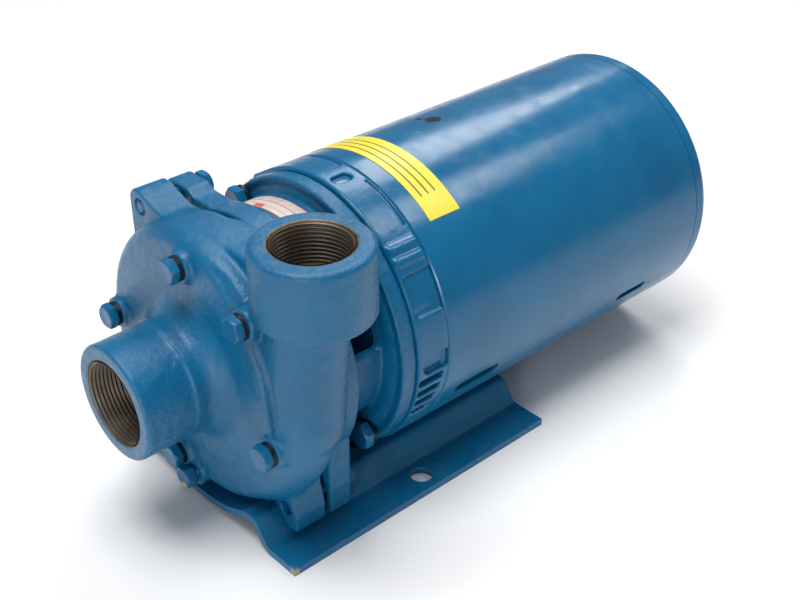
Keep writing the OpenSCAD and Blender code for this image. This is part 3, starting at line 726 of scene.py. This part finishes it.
def sticker(name, stands_for, place, r, cells, paper, ink, printed):
    """A label bent round the shaft, printed with plain rules: printed(i, j) says where."""
    x0, x1, a0, a1 = place
    nx, na = cells
    points, faces = [], []
    for r_here in (r, r + 0.3):
        for i in range(nx + 1):
            for j in range(na + 1):
                at = polar(a0 + (a1 - a0) * j / na, r_here)
                points.append(to_row(x0 + (x1 - x0) * i / nx, *at))
    layer, row = (nx + 1) * (na + 1), na + 1
    for i in range(nx):
        for j in range(na):
            k = layer + i * row + j
            faces.append((k, k + row, k + row + 1, k + 1))
    tops = len(faces)
    rim = [(i, 0) for i in range(nx)] + [(nx, j) for j in range(na)]
    rim += [(i, na) for i in range(nx, 0, -1)] + [(0, j) for j in range(na, 0, -1)]
    index = [i * row + j for i, j in rim]
    for a, b in zip(index, index[1:] + index[:1]):
        faces.append((a, b, b + layer, a + layer))
    for i in range(nx):
        for j in range(na):
            k = i * row + j
            faces.append((k, k + 1, k + row + 1, k + row))
    piece = mesh_object(name, points, faces, paper, sharp=40)
    piece.data.materials.append(ink)
    for k in range(tops):
        if printed(k // na, k % na):
            piece.data.polygons[k].material_index = 1
    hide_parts(stands_for)


def threads(name, bore, depth, place):
    """A bore's pipe thread: a ridge that winds round its wall, whose radius narrows by 1 in 32."""
    turns, steps = 144, int(depth / 0.18)
    points, faces = [], []
    for j in range(steps + 1):
        along = depth * j / steps
        for i in range(turns):
            phase = (along / THREAD_PITCH - i / turns) % 1
            ridge = 1.15 * (1 - abs(2 * phase - 1)) * min(1, along / 1.5)
            r = bore - 0.1 - along / 32 - ridge
            a = 2 * pi * i / turns
            points.append(place(r * cos(a), r * sin(a), along))
    for j in range(steps):
        for i in range(turns):
            k = (i + 1) % turns
            faces.append((j * turns + i, j * turns + k, (j + 1) * turns + k, (j + 1) * turns + i))
    return mesh_object(name, points, faces, THREADS)


# ---------------------------------------------------------------- pieces

casing()
bracket()
front_bell()
shell()
threads("suction_thread", SUCTION_BORE, THREAD_DEPTH - 0.5, lambda u, v, w: to_row(w, u, v))
threads("discharge_thread", PORT_BORE, THREAD_DEPTH - 0.5,
        lambda u, v, w: to_row(PORT_AT[0] + v, PORT_AT[1] + u, PORT_TOP - w))
hex_screws("case_screws", "casing_screws", [polar(*at) for at in CASING_SCREWS], BOSS_FRONT - 2,
           SMALL_SCREW, 11, FASTENER, clock=(30, 12, 41, 24, 8))
hex_screws("corner_screws", "lug_screws", LUGS, BRACKET_BACK,
           SMALL_SCREW, 34, FASTENER, out=1, clock=(30, 10, 22))
hex_screws("face_screws", "bracket_screws", [polar(a, FACE_CIRCLE) for a in FACE_ANGLES], RING_FRONT - 2,
           FACE_SCREW, 21, FASTENER, clock=(30, 18, 5, 37))
hex_screws("drain", "drain_plug", [DRAIN_AT], BOSS_FRONT - 0.6, DRAIN_PLUG, 8.5, PLUG_PAINT, clock=(20,))
sticker("name_tag", "casing_name_tag", TAG_AT, NECK_TOP_R + 0.05, (60, 210),
        PAPER_WHITE, RED_INK, tag_rules)
sticker("yellow_label", "motor_label", LABEL_AT, MOTOR_R + 0.03, (44, 160),
        PAPER_YELLOW, BLACK_INK, label_rules)


# ---------------------------------------------------------------- finish on the CAD nodes

FINISHES = {
    SHEET: "rear_end_bell",
    PLATE_PAINT: "motor_base terminal_cover",
    DARK_STEEL: "casing_lock_washers bracket_lock_washers stator_core rotor_core "
                "front_bearing_cage rear_bearing_cage",
    STEEL: "impeller_key impeller_nut seal_head seal_spring shaft front_bearing_outer "
           "front_bearing_inner front_bearing_balls rear_bearing_outer rear_bearing_inner "
           "rear_bearing_balls bearing_wave_spring through_bolts cover_screws",
    IRON: "suction_wear_plate",
    BRONZE: "impeller",
    BRASS: "terminal_studs",
    ALUMINIUM: "rotor_end_rings cooling_fan",
    COPPER: "stator_winding_front stator_winding_rear",
    RUBBER: "casing_gasket seal_cup slinger",
    CERAMIC: "seal_seat",
    PHENOLIC: "terminal_board",
}
for finish, names in FINISHES.items():
    for name in names.split():
        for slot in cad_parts[name].material_slots:
            slot.material = finish


# ---------------------------------------------------------------- studio

AZIMUTH, ELEVATION, ROLL = -42.6, 32.7, 0.2
AIM, DISTANCE, LENS, SHIFT = Vector((0.0380, -0.0143, 0.0763)), 0.750, 57.6, (-0.0026, 0.0045)
# Lamps: name, place, size in metres, power in watts
LAMPS = (("top", (-0.30, 0.05, 1.8), 1.0, 28), ("front", (-1.35, -0.90, 0.35), 0.5, 7),
         ("streak", (0.93, -0.27, 1.35), 0.45, 4), ("rim", (1.0, 0.75, 1.2), 0.6, 7))
FLOOR_HALF = 6.0


def add_camera():
    """The camera that was solved from the photograph."""
    a, e = radians(AZIMUTH), radians(ELEVATION)
    back = Vector((sin(a) * cos(e), -cos(a) * cos(e), sin(e)))
    data = bpy.data.cameras.new("camera")
    data.lens, data.sensor_width = LENS, 36
    data.shift_x, data.shift_y = SHIFT
    camera = linked("camera", data)
    turned = back.to_track_quat("Z", "Y").to_matrix().to_4x4() @ Matrix.Rotation(radians(ROLL), 4, "Z")
    camera.matrix_world = Matrix.Translation(AIM + back * DISTANCE) @ turned
    bpy.context.scene.camera = camera
    bpy.context.scene.view_settings.view_transform = "Standard"


def add_floor():
    mesh = bpy.data.meshes.new("floor")
    corners = [(x * FLOOR_HALF, y * FLOOR_HALF, 0) for x, y in ((-1, -1), (1, -1), (1, 1), (-1, 1))]
    mesh.from_pydata(corners, [], [(0, 1, 2, 3)])
    paint, _, shader = material("floor_paint")
    shader.inputs["Base Color"].default_value = (0.93, 0.93, 0.93, 1)
    shader.inputs["Roughness"].default_value = 0.8
    mesh.materials.append(paint)
    floor = linked("floor", mesh)


def add_lights():
    world = bpy.data.worlds.new("studio")
    world.use_nodes = True
    world.node_tree.nodes["Background"].inputs["Color"].default_value = (1, 1, 1, 1)
    world.node_tree.nodes["Background"].inputs["Strength"].default_value = 0.22
    bpy.context.scene.world = world
    for name, place, size, power in LAMPS:
        data = bpy.data.lights.new(name, "AREA")
        data.size, data.energy = size, power
        lamp = linked(name, data)
        lamp.location = place
        lamp.rotation_euler = (AIM - Vector(place)).to_track_quat("-Z", "Y").to_euler()


add_camera()
add_floor()
add_lights()
